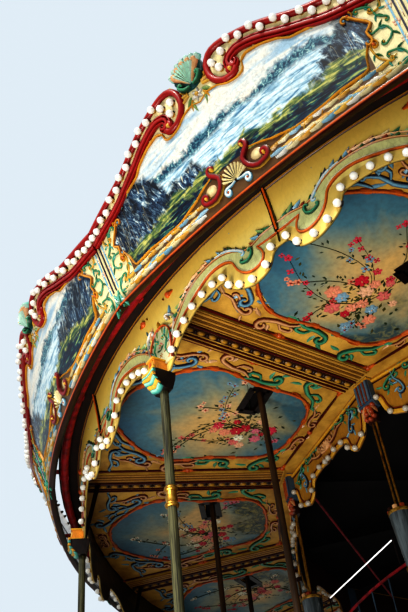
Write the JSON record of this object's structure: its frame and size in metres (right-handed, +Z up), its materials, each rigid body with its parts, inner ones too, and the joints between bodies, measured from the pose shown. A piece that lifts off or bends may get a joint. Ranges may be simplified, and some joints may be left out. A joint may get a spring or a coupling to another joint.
{
  "type": "fairground carousel",
  "caption": "Round single-deck fairground carousel on a fixed centre: platform, posts, painted ceiling, scalloped valances and a crown of rounding boards.",
  "frame": {"origin": "on the ground at the turning axis", "axes": "+Z up along the turning axis; post 01 stands at -Y and the bays count clockwise seen from above"},
  "size_m": [11.06, 10.8506, 8.4203],
  "materials": {
    "base_steel": "satin",
    "house_panel": "satin",
    "timber": "satin",
    "pale_blue_paint": "gloss",
    "mustard_paint": "gloss",
    "cream_paint": "gloss",
    "olive_pole": "worn satin",
    "brass_pole": "aged",
    "dark_brown_paint": "matt",
    "roof_paint": "satin",
    "gilding": "gloss",
    "dark_red_paint": "gloss",
    "green_paint": "gloss",
    "blue_paint": "gloss",
    "picture_paint": "gloss",
    "lamp_glass": "frosted"
  },
  "bodies": {
    "fixed_centre": {"centre_base": "base_steel", "centre_mast": "base_steel", "centre_house": "house_panel", "gallery_floor": "timber", "balustrade": "pale_blue_paint"},
    "turning_ride": {"platform_deck": "timber", "platform_skirt": "mustard_paint", "ride_poles": "olive_pole", "ceiling": "mustard_paint", "inner_valance": "mustard_paint", "outer_valance": "cream_paint", "cornice": "mustard_paint", "roof_deck": "dark_brown_paint", "rim": "dark_brown_paint", "roof_cone": "roof_paint", "finial": "gilding", "outer_post_01": "olive_pole", "outer_post_02": "olive_pole", "outer_post_03": "olive_pole", "outer_post_04": "olive_pole", "outer_post_05": "olive_pole", "outer_post_06": "olive_pole", "outer_post_07": "olive_pole", "outer_post_08": "olive_pole", "outer_post_09": "olive_pole", "outer_post_10": "olive_pole", "outer_post_11": "olive_pole", "outer_post_12": "olive_pole", "outer_post_13": "olive_pole", "outer_post_14": "olive_pole", "inner_post_01": "brass_pole", "inner_post_02": "brass_pole", "inner_post_03": "brass_pole", "inner_post_04": "brass_pole", "inner_post_05": "brass_pole", "inner_post_06": "brass_pole", "inner_post_07": "brass_pole", "inner_post_08": "brass_pole", "inner_post_09": "brass_pole", "inner_post_10": "brass_pole", "inner_post_11": "brass_pole", "inner_post_12": "brass_pole", "inner_post_13": "brass_pole", "inner_post_14": "brass_pole", "rounding_board_01": "cream_paint", "rounding_board_02": "cream_paint", "rounding_board_03": "cream_paint", "rounding_board_04": "cream_paint", "rounding_board_05": "cream_paint", "rounding_board_06": "cream_paint", "rounding_board_07": "cream_paint", "rounding_board_08": "cream_paint", "rounding_board_09": "cream_paint", "rounding_board_10": "cream_paint", "rounding_board_11": "cream_paint", "rounding_board_12": "cream_paint", "rounding_board_13": "cream_paint", "rounding_board_14": "cream_paint"}
  },
  "joints": [
    {"name": "ride_turn", "type": "hinge", "parent": "fixed_centre", "child": "turning_ride", "pos_m": [0, 0, 4.9583], "axis": [0, 0, 1], "continuous": true}
  ]
}
